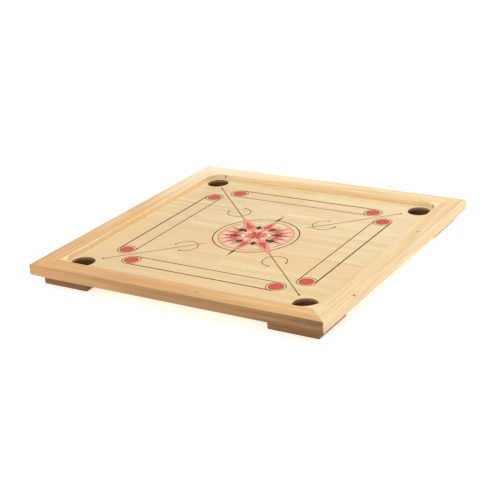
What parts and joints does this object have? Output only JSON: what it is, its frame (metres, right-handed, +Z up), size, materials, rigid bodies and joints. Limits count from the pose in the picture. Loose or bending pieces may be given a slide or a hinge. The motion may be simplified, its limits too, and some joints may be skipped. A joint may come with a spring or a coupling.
{
  "type": "carrom board",
  "caption": "Square wooden carrom board: mitred frame, recessed printed playing panel with a pocket in each corner, standing on bored corner blocks.",
  "frame": {"origin": "middle of the board's footprint, on the surface that the corner blocks stand on", "axes": "+Z up, +X to the right rail, +Y to the back rail"},
  "size_m": [0.6, 0.6, 0.0415],
  "materials": {
    "rail_hardwood": "clear satin lacquer over light rubberwood",
    "playing_surface": "polished clear lacquer over pale birch veneer with red and dark brown printing",
    "block_hardwood": "thin oil, darker than the rails",
    "plywood": "bare sanded plywood",
    "brace_softwood": "bare planed pine",
    "screw_steel": "zinc plated steel"
  },
  "bodies": {
    "root": {"rail_front": "rail_hardwood", "rail_right": "rail_hardwood", "rail_back": "rail_hardwood", "rail_left": "rail_hardwood", "play_panel": "playing_surface", "corner_block_front_left": "block_hardwood", "corner_block_front_right": "block_hardwood", "corner_block_back_right": "block_hardwood", "corner_block_back_left": "block_hardwood", "pocket_floor_front_left": "plywood", "pocket_floor_front_right": "plywood", "pocket_floor_back_right": "plywood", "pocket_floor_back_left": "plywood", "brace_across": "brace_softwood", "brace_lengthways": "brace_softwood", "mitre_tongue_front_left": "plywood", "mitre_tongue_front_right": "plywood", "mitre_tongue_back_right": "plywood", "mitre_tongue_back_left": "plywood", "block_screw_front_left_side": "screw_steel", "block_screw_front_left_end": "screw_steel", "block_screw_front_right_side": "screw_steel", "block_screw_front_right_end": "screw_steel", "block_screw_back_right_side": "screw_steel", "block_screw_back_right_end": "screw_steel", "block_screw_back_left_side": "screw_steel", "block_screw_back_left_end": "screw_steel", "brace_screw_front_a": "screw_steel", "brace_screw_front_b": "screw_steel", "brace_screw_right_a": "screw_steel", "brace_screw_right_b": "screw_steel", "brace_screw_back_a": "screw_steel", "brace_screw_back_b": "screw_steel", "brace_screw_left_a": "screw_steel", "brace_screw_left_b": "screw_steel"}
  },
  "joints": []
}
